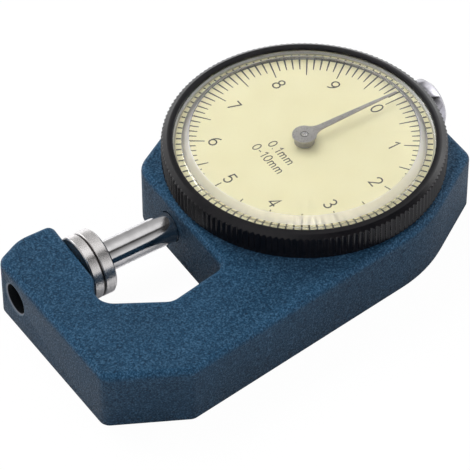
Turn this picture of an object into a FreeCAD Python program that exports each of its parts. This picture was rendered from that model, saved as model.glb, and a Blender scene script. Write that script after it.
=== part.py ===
import FreeCAD
import Part
import math
import os

# Dial thickness gauge in millimetres. The dial axis is the Z axis, the underside of the
# frame lies at z = 0, and +X runs along the spindle from the throat to the lifting knob.

# Dial, bezel and body sizes
bezel_radius = 27.3
knurl_count = 150
knurl_depth = 0.35
knurl_inset = 0.03
bezel_wall = 1.7
bezel_lip_cover = 0.6
bezel_lip = 1.0
bezel_rim_width = 1.1
bezel_shoulder_drop = 0.75
bezel_clearance = 0.4
bezel_groove_depth = 0.3

# Frame casting
frame_thickness = 13.3
body_margin = 1.2
shoulder_margin = 0.4
rear_flank_margin = 1.8
wall_margin = 0.7
rear_margin = 0.5
throat_gap = 21.65
anvil_block_length = 12.7
anvil_seat_depth = 0.25
anvil_seat_margin = 0.2
block_back_y = 12.45
end_face_front_y = -26.45
block_slope_y = 9.85
throat_relief_y = -3.5
throat_corner_y = -11.55
throat_floor_y = -14.65
shoulder_angle = 29.6
rear_flank_angle = 35.0
rear_near_angle = 32.0
near_flank_angle = 6.6
front_edge_angle = 28.0
arm_inner_angle = 31.5
throat_floor_angle = 9.5
block_slope_angle = 25.1
block_back_angle = 1.5
block_face_lean = 2.9
throat_relief_lean = 29.5
wall_lean = 1.5
block_outer_corner = 2.5
block_back_corner = 8.0
block_mouth_corner = 1.6
throat_relief_corner = 1.6
throat_block_corner = 3.7
throat_arm_corner = 3.0
throat_wall_corner = 2.0
shoulder_corner = 5.5
end_corner = 2.2
top_edge_radius = 1.5
bottom_edge_chamfer = 0.4

# Movement well and dial boss in the casting
boss_wall = 4.54
floor_thickness = 2.4
floor_pocket_depth = 1.2
boss_height = 2.7
boss_clearance = 0.06
spring_groove_depth = 0.8
spring_groove_width = 0.9
spring_groove_rise = 1.15
spring_ring_clearance = 0.05
spring_ring_bite = 0.1
spring_ring_chords = 24
spring_ring_opening = 10.0
end_bore_chamfer = 0.35

# Spindle, rack and pinion
spindle_radius = 3.0
spindle_lift = 0.65
stem_radius = 2.0
shoulder_gap = 2.6
measuring_range = 10.0
cutter_overrun = 1.0
feed_length = 10.0
pinion_teeth = 16
rack_line_inset = 0.45
pressure_angle = 20.0
tooth_backlash = 0.03
rack_run_out = 2.4
pinion_width = 5.4
bush_radius = 4.0
running_clearance = 0.04
press_clearance = 0.01
bush_recess = 0.3
entry_lip = 1.5
entry_clearance = 0.15
bush_reach = 1.0

# Contact faces, knob and guide pin
disc_inset = 0.15
anvil_collar_length = 0.8
anvil_collar_radius = 4.6
anvil_disc_thickness = 2.35
anvil_shank_length = 7.4
contact_disc_thickness = 2.65
contact_gap = 0.05
contact_spigot_radius = 1.5
contact_spigot_length = 1.6
disc_chamfer = 0.3
knob_radius = 5.35
knob_length = 4.7
knob_gap = 1.0
knob_chamfer = 0.7
knob_seat_depth = 3.4
pin_radius = 0.8
pin_inset = 4.5
pin_tip_gap = 0.2
slot_side_clearance = 0.08
slot_end_clearance = 0.3

# Return spring
spring_wire_width = 0.45
spring_mean_radius = 2.65
spring_turns = 7.5
spring_steps_per_turn = 14

# Bridge, pillars and bearings
pillar_wall_gap = 3.0
pillar_angles = (100.0, 215.0, 325.0)
pillar_radius = 2.0
pillar_spigot_radius = 1.2
bridge_clearance = 1.35
bridge_thickness = 1.6
bridge_edge_radius = 3.4
screw_radius = 0.95
screw_depth = 4.0
screw_head_radius = 1.9
screw_head_height = 1.2
screw_slot_width = 0.5
screw_slot_depth = 0.5
bearing_radius = 1.6
bearing_rise = 0.5
pivot_radius = 0.5
arbor_radius = 0.6
arbor_body_radius = 0.9
end_shake = 0.1

# Hairspring
collet_radius = 1.5
collet_height = 1.2
collet_rise = 0.4
hairspring_strip = 0.2
hairspring_height = 0.6
hairspring_pitch = 0.9
hairspring_turns = 4
hairspring_steps_per_turn = 16
stud_radius = 0.7

# Dial stack, hand and crystal
carrier_gap = 0.25
carrier_thickness = 0.55
carrier_width = 2.6
dial_thickness = 0.4
dial_hole_radius = 1.4
hub_gap = 0.35
hub_height = 1.55
hub_radius = 1.95
eye_radius = 2.33
hand_thickness = 0.3
hand_tip_inset = 4.1
hand_root_width = 1.25
hand_tip_width = 0.3
hand_flare = 1.6
zero_angle = 0.2
crystal_flange = 1.0
crystal_fit = 0.03
crystal_wall = 1.65
crystal_thickness = 1.45
crystal_side_thickness = 0.9
crystal_bevel = 1.0
crystal_side_rise = 0.2
crystal_head_room = 0.3
crystal_dome_rise = 0.85
crystal_dome_chords = 4

# Places that follow from the sizes above
bezel_bore_radius = bezel_radius - bezel_wall
bezel_lip_radius = bezel_bore_radius - bezel_lip_cover
boss_radius = bezel_bore_radius - boss_clearance
well_radius = boss_radius - boss_wall
body_radius = bezel_radius + body_margin
wall_x = -(bezel_radius + wall_margin)
rear_x = bezel_radius + rear_margin
block_face_x = wall_x - throat_gap
end_face_x = block_face_x - anvil_block_length
pinion_pitch_radius = feed_length / (2.0 * math.pi)
tooth_pitch = feed_length / pinion_teeth
tooth_module = tooth_pitch / math.pi
addendum = tooth_module
dedendum = 1.25 * tooth_module
spindle_y = pinion_pitch_radius + spindle_radius - rack_line_inset
spindle_z = frame_thickness / 2.0 + spindle_lift
disc_radius = frame_thickness / 2.0 - disc_inset
anvil_disc_x = block_face_x + anvil_collar_length
contact_x = anvil_disc_x + anvil_disc_thickness + contact_gap
contact_back_x = contact_x + contact_disc_thickness
knob_x = rear_x + knob_gap
floor_z = floor_thickness
pocket_z = floor_thickness - floor_pocket_depth
boss_top_z = frame_thickness + boss_height
bridge_z = spindle_z + spindle_radius + bridge_clearance
bridge_top_z = bridge_z + bridge_thickness
groove_z = frame_thickness + spring_groove_rise
carrier_z = boss_top_z + carrier_gap
dial_z = carrier_z + carrier_thickness
dial_top_z = dial_z + dial_thickness
hub_z = dial_top_z + hub_gap
hand_z = hub_z + hub_height
hand_top_z = hand_z + hand_thickness
bezel_z = frame_thickness + bezel_clearance
lip_z = dial_top_z + crystal_flange
bezel_top_z = lip_z + bezel_lip
bush_inner_x = well_radius - bush_reach
lip_end_x = wall_x + entry_lip
shoulder_x = rack_run_out + shoulder_gap
pin_x = pin_inset - bush_inner_x
pillar_circle_radius = well_radius - pillar_radius - pillar_wall_gap
hand_length = bezel_bore_radius - hand_tip_inset


def point(x, y, z=0.0):
    return FreeCAD.Vector(x, y, z)


def line_through(x, y, angle):
    """A line as unit normal and distance, through a point at an angle to +X in degrees."""
    nx = -math.sin(math.radians(angle))
    ny = math.cos(math.radians(angle))
    return nx, ny, nx * x + ny * y


def line_tangent(radius, normal_angle):
    """A line that touches a circle about the dial axis where its normal points."""
    nx = math.cos(math.radians(normal_angle))
    ny = math.sin(math.radians(normal_angle))
    return nx, ny, radius


def meet(first, second):
    """The point where two lines cross."""
    a, b, c = first
    d, e, f = second
    det = a * e - b * d
    return (c * e - b * f) / det, (a * f - c * d) / det


def rounded_wire(corners):
    """A closed wire through corners (x, y, radius), each rounded by a tangent arc."""
    starts, ends, mids = [], [], []
    count = len(corners)
    for i in range(count):
        x, y, radius = corners[i]
        here = point(x, y)
        back = point(*corners[i - 1][:2]) - here
        ahead = point(*corners[(i + 1) % count][:2]) - here
        back.normalize()
        ahead.normalize()
        half = back.getAngle(ahead) / 2.0
        middle = back + ahead
        middle.normalize()
        run = radius / math.tan(half)
        centre = here + middle * (radius / math.sin(half))
        starts.append(here + back * run)
        ends.append(here + ahead * run)
        mids.append(centre - middle * radius)
    edges = []
    for i in range(count):
        edges.append(Part.Arc(starts[i], mids[i], ends[i]).toShape())
        edges.append(Part.makeLine(ends[i], starts[(i + 1) % count]))
    return Part.Wire(edges)


def polygon_prism(points, low, high):
    """A prism on a closed polygon of (x, y) points between two heights."""
    wire = Part.makePolygon([point(x, y, low) for x, y in points + points[:1]])
    return Part.Face(wire).extrude(point(0, 0, high - low))


def wire_prism(wire, low, high):
    """A prism on a flat wire at z = 0 between two heights."""
    solid = Part.Face(wire).extrude(point(0, 0, high - low))
    solid.translate(point(0, 0, low))
    return solid


def turned(profile):
    """A solid turned about the dial axis from (radius, z) points."""
    wire = Part.makePolygon([point(r, 0, z) for r, z in profile + profile[:1]])
    return Part.Face(wire).revolve(point(0, 0), point(0, 0, 1), 360)


def turned_on_spindle(profile):
    """A solid turned about the spindle axis from (x, radius) points."""
    wire = Part.makePolygon([point(x, 0, r) for x, r in profile + profile[:1]])
    solid = Part.Face(wire).revolve(point(0, 0), point(1, 0, 0), 360)
    solid.translate(point(0, spindle_y, spindle_z))
    return solid


def upright(radius, low, high, x=0.0, y=0.0):
    """An upright cylinder."""
    return Part.makeCylinder(radius, high - low, point(x, y, low))


def along_spindle(radius, low, high):
    """A cylinder on the spindle axis between two x positions."""
    base = point(low, spindle_y, spindle_z)
    return Part.makeCylinder(radius, high - low, base, point(1, 0, 0))


def edges_at_height(shape, z):
    """The edges that lie flat at one height."""
    found = []
    for edge in shape.Edges:
        box = edge.BoundBox
        if abs(box.ZMin - z) < 1e-5 and abs(box.ZMax - z) < 1e-5:
            found.append(edge)
    return found


def pillar_places():
    """The pillar centres on their circle."""
    places = []
    for angle in pillar_angles:
        turn = math.radians(angle)
        places.append((pillar_circle_radius * math.cos(turn), pillar_circle_radius * math.sin(turn)))
    return places


def frame_outline():
    """The casting's plan: straight flanks that touch the round body, and the open throat."""
    cast_face_x = block_face_x + anvil_seat_depth
    end = line_through(end_face_x, 0, 90)
    slope = line_through(end_face_x, block_slope_y, block_slope_angle)
    back = line_through(block_face_x, block_back_y, -block_back_angle)
    block = line_through(cast_face_x, spindle_y, 90 - block_face_lean)
    relief = line_through(block_face_x, throat_relief_y, 90 - throat_relief_lean)
    arm = line_through(block_face_x, throat_corner_y, -arm_inner_angle)
    floor = line_through(wall_x, throat_floor_y, throat_floor_angle)
    wall = line_through(wall_x, 0, 90 - wall_lean)
    shoulder = line_tangent(bezel_radius + shoulder_margin, 90 + shoulder_angle)
    rear_far = line_tangent(bezel_radius + rear_flank_margin, 90 - rear_flank_angle)
    rear = line_through(rear_x, 0, 90 - wall_lean)
    rear_near = line_tangent(body_radius, rear_near_angle - 90)
    flank = line_tangent(body_radius, near_flank_angle - 90)
    front = line_through(end_face_x, end_face_front_y, -front_edge_angle)
    corners = [
        (end, slope, block_outer_corner),
        (slope, back, block_back_corner),
        (back, block, block_mouth_corner),
        (block, relief, throat_relief_corner),
        (relief, arm, throat_block_corner),
        (arm, floor, throat_arm_corner),
        (floor, wall, throat_wall_corner),
        (wall, shoulder, shoulder_corner),
        (shoulder, rear_far, body_radius),
        (rear_far, rear, end_corner),
        (rear, rear_near, end_corner),
        (rear_near, flank, body_radius),
        (flank, front, end_corner),
        (front, end, end_corner),
    ]
    return rounded_wire([meet(first, second) + (radius,) for first, second, radius in corners])


def guide_slot():
    """The slot in the well's floor that the guide pin runs in."""
    half = pin_radius + slot_side_clearance
    low = pin_x - slot_end_clearance
    high = pin_x + measuring_range + slot_end_clearance
    slot = Part.makeBox(high - low, 2 * half, floor_pocket_depth, point(low, spindle_y - half, pocket_z))
    slot = slot.fuse(upright(half, pocket_z, floor_z, low, spindle_y))
    return slot.fuse(upright(half, pocket_z, floor_z, high, spindle_y))


def make_frame():
    """The casting: plate with softened edges, dial boss, movement well, bores and pockets."""
    plate = wire_prism(frame_outline(), 0, frame_thickness)
    plate = plate.makeFillet(top_edge_radius, edges_at_height(plate, frame_thickness))
    plate = plate.makeChamfer(bottom_edge_chamfer, edges_at_height(plate, 0))
    groove_radius = boss_radius - spring_groove_depth
    boss = turned([
        (well_radius - cutter_overrun, frame_thickness - cutter_overrun),
        (boss_radius, frame_thickness - cutter_overrun),
        (boss_radius, groove_z),
        (groove_radius, groove_z),
        (groove_radius, groove_z + spring_groove_width),
        (boss_radius, groove_z + spring_groove_width),
        (boss_radius, boss_top_z),
        (well_radius - cutter_overrun, boss_top_z),
    ])
    body = plate.fuse(boss)
    body = body.cut(upright(well_radius, floor_z, boss_top_z + cutter_overrun))
    body = body.cut(guide_slot())
    body = body.cut(upright(bearing_radius, pocket_z, floor_z))
    for x, y in pillar_places():
        body = body.cut(upright(pillar_spigot_radius, pocket_z, floor_z, x, y))
    bore_start = end_face_x - cutter_overrun
    body = body.cut(along_spindle(spindle_radius, bore_start, block_face_x + cutter_overrun))
    seat_radius = anvil_collar_radius + anvil_seat_margin
    body = body.cut(along_spindle(seat_radius, block_face_x, block_face_x + cutter_overrun))
    mouth = end_bore_chamfer + cutter_overrun
    body = body.cut(turned_on_spindle([
        (bore_start, 0),
        (bore_start, spindle_radius + mouth),
        (end_face_x + end_bore_chamfer, spindle_radius),
        (end_face_x + end_bore_chamfer, 0),
    ]))
    entry_radius = spindle_radius + entry_clearance
    body = body.cut(along_spindle(entry_radius, wall_x - cutter_overrun, 0))
    body = body.cut(along_spindle(bush_radius, lip_end_x, 0))
    body = body.cut(along_spindle(bush_radius, 0, rear_x + cutter_overrun))
    return body.removeSplitter()


def make_anvil():
    """The fixed contact disc with its collar and shank."""
    tip = disc_radius - disc_chamfer
    face = anvil_disc_x + anvil_disc_thickness
    shank = spindle_radius - press_clearance
    return turned_on_spindle([
        (block_face_x - anvil_shank_length, 0),
        (block_face_x - anvil_shank_length, shank),
        (block_face_x, shank),
        (block_face_x, anvil_collar_radius),
        (anvil_disc_x, anvil_collar_radius),
        (anvil_disc_x, tip),
        (anvil_disc_x + disc_chamfer, disc_radius),
        (face - disc_chamfer, disc_radius),
        (face, tip),
        (face, 0),
    ])


def make_contact_disc():
    """The moving contact disc, bored for the spindle's spigot."""
    tip = disc_radius - disc_chamfer
    seat = contact_back_x - contact_spigot_length
    bore = contact_spigot_radius + press_clearance
    return turned_on_spindle([
        (contact_x, 0),
        (contact_x, tip),
        (contact_x + disc_chamfer, disc_radius),
        (contact_back_x - disc_chamfer, disc_radius),
        (contact_back_x, tip),
        (contact_back_x, bore),
        (seat, bore),
        (seat, 0),
    ])


def rack_waste():
    """What the cutter takes from the spindle to leave the rack teeth."""
    line = pinion_pitch_radius
    outside = line - spindle_radius
    slope = math.tan(math.radians(pressure_angle))
    half = tooth_pitch / 4.0 - tooth_backlash / 2.0
    tip_half = half - addendum * slope
    root_half = half + dedendum * slope
    low = -measuring_range - rack_run_out
    high = rack_run_out
    points = [(low, outside), (low, line + dedendum)]
    for i in range(math.ceil(low / tooth_pitch) + 1, math.floor(high / tooth_pitch)):
        centre = i * tooth_pitch
        points.append((centre - root_half, line + dedendum))
        points.append((centre - tip_half, line - addendum))
        points.append((centre + tip_half, line - addendum))
        points.append((centre + root_half, line + dedendum))
    points.append((high, line + dedendum))
    points.append((high, outside))
    reach = spindle_radius + cutter_overrun
    return polygon_prism(points, spindle_z - reach, spindle_z + reach)


def make_spindle():
    """The spindle with its spigot, shoulder, stem, pin hole and rack."""
    spigot_x = contact_back_x - contact_spigot_length
    stem_end = knob_x + knob_seat_depth
    body = turned_on_spindle([
        (spigot_x, 0),
        (spigot_x, contact_spigot_radius),
        (contact_back_x, contact_spigot_radius),
        (contact_back_x, spindle_radius),
        (shoulder_x, spindle_radius),
        (shoulder_x, stem_radius),
        (stem_end, stem_radius),
        (stem_end, 0),
    ])
    body = body.cut(rack_waste())
    below = spindle_z - spindle_radius - cutter_overrun
    hole = upright(pin_radius, below, spindle_z, pin_x, spindle_y)
    return body.cut(hole)


def make_guide_pin():
    """The pin below the spindle that runs in the floor's slot."""
    return upright(pin_radius - press_clearance, pocket_z + pin_tip_gap, spindle_z, pin_x, spindle_y)


def make_knob():
    """The lifting knob on the end of the stem."""
    face = knob_x + knob_length
    bore = stem_radius + press_clearance
    return turned_on_spindle([
        (knob_x, bore),
        (knob_x, knob_radius - knob_chamfer),
        (knob_x + knob_chamfer, knob_radius),
        (face - knob_chamfer, knob_radius),
        (face, knob_radius - knob_chamfer),
        (face, 0),
        (knob_x + knob_seat_depth, 0),
        (knob_x + knob_seat_depth, bore),
    ])


def make_bush(inner_radius, low, high):
    """A plain guide bush on the spindle axis."""
    outer = along_spindle(bush_radius - press_clearance, low, high)
    return outer.cut(along_spindle(inner_radius + running_clearance, low, high))


def coil_section(turns):
    """The wire's four corners after a number of turns, in order round the wire."""
    half = spring_wire_width / 2.0
    length = bush_inner_x - shoulder_x - spring_wire_width
    middle = shoulder_x + half + length * turns / spring_turns
    angle = 2.0 * math.pi * turns
    corners = []
    for radial, axial in ((-half, -half), (half, -half), (half, half), (-half, half)):
        reach = spring_mean_radius + radial
        y = spindle_y + reach * math.cos(angle)
        corners.append(point(middle + axial, y, spindle_z + reach * math.sin(angle)))
    return corners


def make_return_spring():
    """The coil spring between the spindle's shoulder and the rear bush, from flat-sided wire."""
    steps = round(spring_turns * spring_steps_per_turn)
    sections = [coil_section(i / spring_steps_per_turn) for i in range(steps + 1)]
    outlines = [sections[0], sections[-1]]
    for here, ahead in zip(sections[:-1], sections[1:]):
        for i in range(4):
            j = (i + 1) % 4
            outlines.append([here[i], here[j], ahead[j]])
            outlines.append([here[i], ahead[j], ahead[i]])
    faces = [Part.Face(Part.makePolygon(corners + corners[:1])) for corners in outlines]
    shell = Part.makeShell(faces)
    shell.sewShape()
    return Part.makeSolid(shell)


def make_pillars():
    """Three pillars with spigots in the floor and holes for the bridge screws."""
    pillars = []
    for x, y in pillar_places():
        pillar = upright(pillar_radius, floor_z, bridge_z, x, y)
        pillar = pillar.fuse(upright(pillar_spigot_radius - press_clearance, pocket_z, floor_z, x, y))
        hole = upright(screw_radius + press_clearance, bridge_z - screw_depth, bridge_z, x, y)
        pillars.append(pillar.cut(hole).removeSplitter())
    return Part.makeCompound(pillars)


def make_bridge():
    """The bridge plate over the spindle, with rounded corners round the pillars."""
    places = pillar_places()
    sides = []
    for i in range(len(places)):
        x, y = places[i]
        next_x, next_y = places[(i + 1) % len(places)]
        angle = math.degrees(math.atan2(next_y - y, next_x - x))
        nx, ny, distance = line_through(x, y, angle)
        sides.append((nx, ny, distance - bridge_edge_radius))
    corners = [meet(sides[i - 1], sides[i]) + (bridge_edge_radius,) for i in range(len(sides))]
    plate = wire_prism(rounded_wire(corners), bridge_z, bridge_top_z)
    for x, y in places:
        plate = plate.cut(upright(screw_radius + running_clearance, bridge_z, bridge_top_z, x, y))
    return plate.cut(upright(bearing_radius, bridge_z, bridge_top_z))


def make_bridge_screws():
    """Three slotted cheese-head screws through the bridge."""
    screws = []
    top = bridge_top_z + screw_head_height
    for x, y in pillar_places():
        screw = upright(screw_radius, bridge_z - screw_depth + end_shake, bridge_top_z, x, y)
        screw = screw.fuse(upright(screw_head_radius, bridge_top_z, top, x, y))
        corner = point(x - screw_head_radius, y - screw_slot_width / 2.0, top - screw_slot_depth)
        slot = Part.makeBox(2 * screw_head_radius, screw_slot_width, screw_slot_depth, corner)
        screws.append(screw.cut(slot).removeSplitter())
    return Part.makeCompound(screws)


def make_lower_bearing():
    """The blind bearing bush for the arbor's foot."""
    top = floor_z + bearing_rise
    outer = upright(bearing_radius - press_clearance, pocket_z, top)
    return outer.cut(upright(pivot_radius + running_clearance, pocket_z + bearing_rise, top))


def make_upper_bearing():
    """The open bearing bush in the bridge."""
    outer = upright(bearing_radius - press_clearance, bridge_z, bridge_top_z)
    return outer.cut(upright(arbor_radius + running_clearance, bridge_z, bridge_top_z))


def involute(angle):
    """How far an involute has turned at a pressure angle."""
    return math.tan(angle) - angle


def pinion_outline():
    """The pinion's teeth: involute flanks with a tooth space that faces the rack."""
    base = pinion_pitch_radius * math.cos(math.radians(pressure_angle))
    tip = pinion_pitch_radius + addendum
    root = pinion_pitch_radius - dedendum
    thickness = tooth_pitch / 2.0 - tooth_backlash
    half_at_pitch = thickness / (2.0 * pinion_pitch_radius)
    half_at_base = half_at_pitch + involute(math.radians(pressure_angle))
    flank = [(min(root, base), half_at_base)]
    for radius in (max(root, base), (base + tip) / 2.0, tip):
        flank.append((radius, half_at_base - involute(math.acos(min(1.0, base / radius)))))
    points = []
    for tooth in range(pinion_teeth):
        middle = math.pi / 2.0 - 2.0 * math.pi * (tooth + 0.5) / pinion_teeth
        for radius, half in flank:
            points.append((radius * math.cos(middle + half), radius * math.sin(middle + half)))
        for radius, half in reversed(flank):
            points.append((radius * math.cos(middle - half), radius * math.sin(middle - half)))
    return points


def make_pinion_arbor():
    """The upright arbor with pivots and its pinion, cut from one rod."""
    foot = pocket_z + bearing_rise + end_shake
    seat = floor_z + bearing_rise + end_shake
    neck = bridge_z - end_shake
    shaft = turned([
        (0, foot),
        (pivot_radius, foot),
        (pivot_radius, seat),
        (arbor_body_radius, seat),
        (arbor_body_radius, neck),
        (arbor_radius, neck),
        (arbor_radius, hand_top_z),
        (0, hand_top_z),
    ])
    low = spindle_z - pinion_width / 2.0
    pinion = polygon_prism(pinion_outline(), low, low + pinion_width)
    return shaft.fuse(pinion)


def make_collet():
    """The ring on the arbor that holds the hairspring's inner end."""
    low = bridge_top_z + collet_rise
    outer = upright(collet_radius, low, low + collet_height)
    return outer.cut(upright(arbor_radius + press_clearance, low, low + collet_height))


def hairspring_reach(turns):
    """The spiral's middle line: its distance from the arbor after a number of turns."""
    return collet_radius + running_clearance + hairspring_strip / 2.0 + hairspring_pitch * turns


def spiral_side(offset):
    """One side of the spiral strip, as points moved out from its middle line."""
    points = []
    for i in range(hairspring_turns * hairspring_steps_per_turn + 1):
        turns = i / hairspring_steps_per_turn
        reach = hairspring_reach(turns) + offset
        angle = 2.0 * math.pi * turns
        points.append((reach * math.cos(angle), reach * math.sin(angle)))
    return points


def make_hairspring():
    """The flat spiral spring between collet and stud."""
    half = hairspring_strip / 2.0
    low = bridge_top_z + collet_rise + (collet_height - hairspring_height) / 2.0
    points = spiral_side(half) + list(reversed(spiral_side(-half)))
    return polygon_prism(points, low, low + hairspring_height)


def make_hairspring_stud():
    """The stud on the bridge at the spring's outer end."""
    reach = hairspring_reach(hairspring_turns) + hairspring_strip / 2.0 + stud_radius
    top = bridge_top_z + collet_rise + collet_height
    return upright(stud_radius, bridge_top_z, top, reach, 0)


def make_dial_carrier():
    """The ring pressed into the bezel below the dial face."""
    outer = bezel_bore_radius - press_clearance
    inner = bezel_bore_radius - carrier_width
    return turned([(inner, carrier_z), (outer, carrier_z), (outer, dial_z), (inner, dial_z)])


def make_dial_face():
    """The printed dial disc."""
    outer = bezel_bore_radius - running_clearance
    return turned([
        (dial_hole_radius, dial_z),
        (outer, dial_z),
        (outer, dial_top_z),
        (dial_hole_radius, dial_top_z),
    ])


def make_bezel_spring():
    """The open spring ring between the boss and the bezel, bent in short chords."""
    chord = (360.0 - spring_ring_opening) / spring_ring_chords
    groove_floor = boss_radius - spring_groove_depth
    inner = (groove_floor + spring_ring_clearance) / math.cos(math.radians(chord / 2.0))
    outer = bezel_bore_radius + spring_ring_bite
    turns = [math.radians(i * chord) for i in range(spring_ring_chords + 1)]
    points = [(outer * math.cos(turn), outer * math.sin(turn)) for turn in turns]
    points += [(inner * math.cos(turn), inner * math.sin(turn)) for turn in reversed(turns)]
    low = groove_z + spring_ring_clearance
    return polygon_prism(points, low, groove_z + spring_groove_width - spring_ring_clearance)


def knurl_outline():
    """The knurled outline: a ridge and a groove in turn."""
    points = []
    ridge = bezel_radius - knurl_inset
    groove = bezel_radius - knurl_depth
    for i in range(2 * knurl_count):
        radius = ridge if i % 2 == 0 else groove
        turn = math.pi * i / knurl_count
        points.append((radius * math.cos(turn), radius * math.sin(turn)))
    return points


def make_bezel():
    """The bezel ring: knurled skirt, smooth shoulder and a lip over the crystal's flange."""
    shoulder_z = bezel_top_z - bezel_shoulder_drop
    rim_radius = bezel_lip_radius + bezel_rim_width
    groove_radius = bezel_bore_radius + bezel_groove_depth
    shoulder = turned([
        (0, shoulder_z),
        (bezel_radius, shoulder_z),
        (rim_radius, bezel_top_z),
        (0, bezel_top_z),
    ])
    skirt = polygon_prism(knurl_outline(), bezel_z, shoulder_z)
    bore = turned([
        (0, bezel_z - cutter_overrun),
        (bezel_bore_radius, bezel_z - cutter_overrun),
        (bezel_bore_radius, groove_z - spring_ring_bite),
        (groove_radius, groove_z - spring_ring_bite),
        (groove_radius, groove_z + spring_groove_width + spring_ring_bite),
        (bezel_bore_radius, groove_z + spring_groove_width + spring_ring_bite),
        (bezel_bore_radius, lip_z),
        (bezel_lip_radius, lip_z),
        (bezel_lip_radius, bezel_top_z + cutter_overrun),
        (0, bezel_top_z + cutter_overrun),
    ])
    return skirt.fuse(shoulder).cut(bore).removeSplitter()


def dome_points(rim_radius, rim_z, centre_z):
    """The meridian of a round dome in short chords, from its rim to its top on the dial axis."""
    rise = centre_z - rim_z
    radius = (rim_radius ** 2 + rise ** 2) / (2.0 * rise)
    points = []
    for i in range(crystal_dome_chords + 1):
        reach = rim_radius * (1.0 - i / crystal_dome_chords)
        points.append((reach, centre_z - radius + math.sqrt(radius ** 2 - reach ** 2)))
    return points


def make_crystal():
    """The clear cover: flange under the bezel's lip, bevelled side and a low dome."""
    flange_radius = bezel_bore_radius - running_clearance
    side_radius = bezel_lip_radius - crystal_fit
    inner_radius = bezel_bore_radius - crystal_wall
    top_radius = side_radius - crystal_bevel
    inner_top_radius = top_radius - crystal_side_thickness
    inner_z = hand_top_z + crystal_head_room
    top_centre_z = inner_z + crystal_thickness
    top_z = top_centre_z - crystal_dome_rise
    side_z = bezel_top_z - crystal_side_rise
    knee_z = inner_z - (inner_radius - inner_top_radius)
    outline = [
        (0, inner_z),
        (inner_top_radius, inner_z),
        (inner_radius, knee_z),
        (inner_radius, dial_top_z),
        (flange_radius, dial_top_z),
        (flange_radius, lip_z),
        (side_radius, lip_z),
        (side_radius, side_z),
    ]
    return turned(outline + dome_points(top_radius, top_z, top_centre_z))


def make_pointer_hub():
    """The turned boss under the hand's eye."""
    outer = upright(hub_radius, hub_z, hand_z)
    return outer.cut(upright(arbor_radius + press_clearance, hub_z, hand_z))


def make_pointer():
    """The stamped hand: a round eye that flares into a slim tapering arm."""
    half_root = hand_root_width / 2.0
    half_tip = hand_tip_width / 2.0
    root_x = eye_radius + hand_flare
    swing = math.asin(min(0.9, 2.0 * half_root / eye_radius))
    eye_x = eye_radius * math.cos(swing)
    eye_y = eye_radius * math.sin(swing)
    mid_x = (eye_x + root_x) / 2.0
    mid_y = half_root + 0.25 * (eye_y - half_root)
    edges = [
        Part.Arc(point(eye_x, eye_y), point(-eye_radius, 0), point(eye_x, -eye_y)).toShape(),
        Part.Arc(point(eye_x, -eye_y), point(mid_x, -mid_y), point(root_x, -half_root)).toShape(),
        Part.makeLine(point(root_x, -half_root), point(hand_length, -half_tip)),
        Part.makeLine(point(hand_length, -half_tip), point(hand_length, half_tip)),
        Part.makeLine(point(hand_length, half_tip), point(root_x, half_root)),
        Part.Arc(point(root_x, half_root), point(mid_x, mid_y), point(eye_x, eye_y)).toShape(),
    ]
    hand = wire_prism(Part.Wire(edges), hand_z, hand_top_z)
    hand = hand.cut(upright(arbor_radius + press_clearance, hand_z, hand_top_z))
    hand.rotate(point(0, 0), point(0, 0, 1), zero_angle)
    return hand


def build():
    """Every node of the gauge by name."""
    return {
        "frame": make_frame(),
        "anvil": make_anvil(),
        "front_bush": make_bush(spindle_radius, lip_end_x + press_clearance, -bush_inner_x),
        "rear_bush": make_bush(stem_radius, bush_inner_x, rear_x - bush_recess),
        "bridge_pillars": make_pillars(),
        "movement_bridge": make_bridge(),
        "bridge_screws": make_bridge_screws(),
        "lower_bearing": make_lower_bearing(),
        "upper_bearing": make_upper_bearing(),
        "hairspring": make_hairspring(),
        "hairspring_stud": make_hairspring_stud(),
        "bezel_spring": make_bezel_spring(),
        "return_spring": make_return_spring(),
        "spindle": make_spindle(),
        "contact_disc": make_contact_disc(),
        "guide_pin": make_guide_pin(),
        "lift_knob": make_knob(),
        "pinion_arbor": make_pinion_arbor(),
        "hairspring_collet": make_collet(),
        "pointer_hub": make_pointer_hub(),
        "pointer": make_pointer(),
        "dial_carrier": make_dial_carrier(),
        "dial_face": make_dial_face(),
        "crystal": make_crystal(),
        "bezel": make_bezel(),
    }


os.makedirs("parts", exist_ok=True)
for name, shape in build().items():
    shape.exportStep("parts/" + name + ".step")
    print(name, shape.isValid(), len(shape.Solids), round(shape.Volume, 2))
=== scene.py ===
import math

import bmesh
import bpy
import numpy as np
from mathutils import Matrix, Vector


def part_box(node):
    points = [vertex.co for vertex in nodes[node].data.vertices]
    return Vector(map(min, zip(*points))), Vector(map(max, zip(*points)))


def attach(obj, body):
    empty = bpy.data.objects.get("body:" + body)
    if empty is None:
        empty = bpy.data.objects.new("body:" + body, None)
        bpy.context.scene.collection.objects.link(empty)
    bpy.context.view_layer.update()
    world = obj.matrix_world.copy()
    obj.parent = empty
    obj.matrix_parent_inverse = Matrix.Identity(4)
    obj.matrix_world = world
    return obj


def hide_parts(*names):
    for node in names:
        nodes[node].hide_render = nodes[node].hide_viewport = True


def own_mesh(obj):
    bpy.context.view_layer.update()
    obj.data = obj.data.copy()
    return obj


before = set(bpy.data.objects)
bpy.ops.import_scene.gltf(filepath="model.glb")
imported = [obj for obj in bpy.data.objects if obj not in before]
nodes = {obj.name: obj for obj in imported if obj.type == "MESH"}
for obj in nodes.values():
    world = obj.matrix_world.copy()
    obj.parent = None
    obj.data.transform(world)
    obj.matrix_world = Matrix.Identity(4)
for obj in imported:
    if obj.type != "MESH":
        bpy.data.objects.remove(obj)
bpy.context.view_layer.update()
MM = 0.001


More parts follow.
